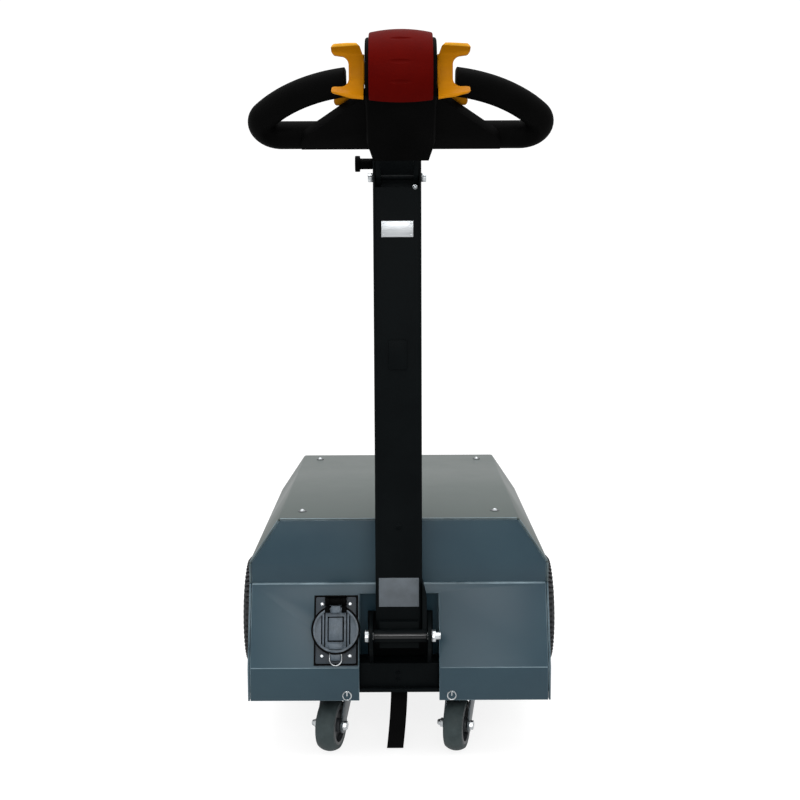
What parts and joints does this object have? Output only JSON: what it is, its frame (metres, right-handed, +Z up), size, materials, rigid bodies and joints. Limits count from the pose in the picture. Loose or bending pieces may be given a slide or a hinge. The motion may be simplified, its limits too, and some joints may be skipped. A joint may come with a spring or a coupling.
{
  "type": "walk-behind electric tow tractor",
  "caption": "Walk-behind electric tug: folded-sheet body with batteries inside, driven pneumatic tyres, rear swivel casters, upright tiller with hand loops and a pin tow jaw.",
  "frame": {"origin": "on the floor, in the middle of the machine's box", "axes": "+X to the right seen from the operator's end, +Y forwards to the tow jaw, +Z up"},
  "size_m": [0.622, 0.9496, 1.1652],
  "materials": {
    "grey_paint": "satin",
    "end_paint": "satin",
    "black_paint": "satin",
    "cast_grey": "matte",
    "zinc_steel": "satin",
    "rim_paint": "gloss",
    "tyre": "matte",
    "grey_rubber": "matte",
    "black_rubber": "matte",
    "black_plastic": "matte",
    "caster_plastic": "matte",
    "lid_plastic": "satin",
    "red_plastic": "gloss",
    "yellow_plastic": "gloss"
  },
  "bodies": {
    "chassis": {"hood": "grey_paint", "hood_rear_plate": "end_paint", "hood_front_plate": "grey_paint", "rear_panel": "end_paint", "front_panel": "grey_paint", "floor_plate": "black_paint", "rear_beam": "end_paint", "transaxle": "cast_grey", "drive_motor": "black_paint", "batteries": "black_plastic", "tow_jaw": "black_paint", "earth_strap": "black_rubber", "tiller_bracket": "black_paint", "pivot_bolt": "zinc_steel", "tiller_stop": "black_rubber", "socket_gasket": "black_rubber", "socket_plate": "zinc_steel", "socket_insert": "black_plastic", "lid_hinge": "black_plastic", "side_panel_left": "grey_paint", "side_panel_right": "grey_paint", "chassis_rail_left": "black_paint", "chassis_rail_right": "black_paint", "caster_plate_left": "zinc_steel", "caster_plate_right": "zinc_steel"},
    "tiller": {"tiller_tube": "black_paint", "tiller_foot": "black_paint", "head_bolt": "zinc_steel", "index_plunger": "zinc_steel"},
    "head": {"head_neck": "black_paint", "head_housing": "black_plastic", "belly_switch": "red_plastic", "paddle_left": "yellow_plastic", "paddle_right": "yellow_plastic"},
    "charge_lid": {"socket_lid": "lid_plastic"},
    "drive_wheel_left": {"drive_tyre_left": "tyre", "drive_rim_left": "rim_paint"},
    "caster_left": {"caster_fork_left": "zinc_steel"},
    "caster_wheel_left": {"caster_tyre_left": "grey_rubber", "caster_centre_left": "caster_plastic"},
    "drive_wheel_right": {"drive_tyre_right": "tyre", "drive_rim_right": "rim_paint"},
    "caster_right": {"caster_fork_right": "zinc_steel"},
    "caster_wheel_right": {"caster_tyre_right": "grey_rubber", "caster_centre_right": "caster_plastic"}
  },
  "joints": [
    {"name": "tiller_tilt", "type": "hinge", "parent": "chassis", "child": "tiller", "pos_m": [0, -0.2832, 0.228], "axis": [1, 0, 0], "range_deg": [0, 70], "stiffness_Nm_per_rad": 25, "springref_deg": -18.33},
    {"name": "head_tilt", "type": "hinge", "parent": "tiller", "child": "head", "pos_m": [0, -0.2482, 0.9635], "axis": [1, 0, 0], "range_deg": [-20, 20]},
    {"name": "lid_swing", "type": "hinge", "parent": "chassis", "child": "charge_lid", "pos_m": [-0.1045, -0.23439, 0.27154], "axis": [-1, 0, 0], "range_deg": [0, 110]},
    {"name": "drive_spin_left", "type": "hinge", "parent": "chassis", "child": "drive_wheel_left", "pos_m": [-0.277, 0.2638, 0.112], "axis": [1, 0, 0], "continuous": true},
    {"name": "caster_swivel_left", "type": "hinge", "parent": "chassis", "child": "caster_left", "pos_m": [-0.1075, -0.1612, 0.1], "axis": [0, 0, 1], "continuous": true},
    {"name": "caster_spin_left", "type": "hinge", "parent": "caster_left", "child": "caster_wheel_left", "pos_m": [-0.11656, -0.19501, 0.0445], "axis": [0.9659, -0.2588, 0], "continuous": true},
    {"name": "drive_spin_right", "type": "hinge", "parent": "chassis", "child": "drive_wheel_right", "pos_m": [0.277, 0.2638, 0.112], "axis": [1, 0, 0], "continuous": true},
    {"name": "caster_swivel_right", "type": "hinge", "parent": "chassis", "child": "caster_right", "pos_m": [0.1075, -0.1612, 0.1], "axis": [0, 0, 1], "continuous": true},
    {"name": "caster_spin_right", "type": "hinge", "parent": "caster_right", "child": "caster_wheel_right", "pos_m": [0.09844, -0.19501, 0.0445], "axis": [0.9659, -0.2588, 0], "continuous": true}
  ]
}
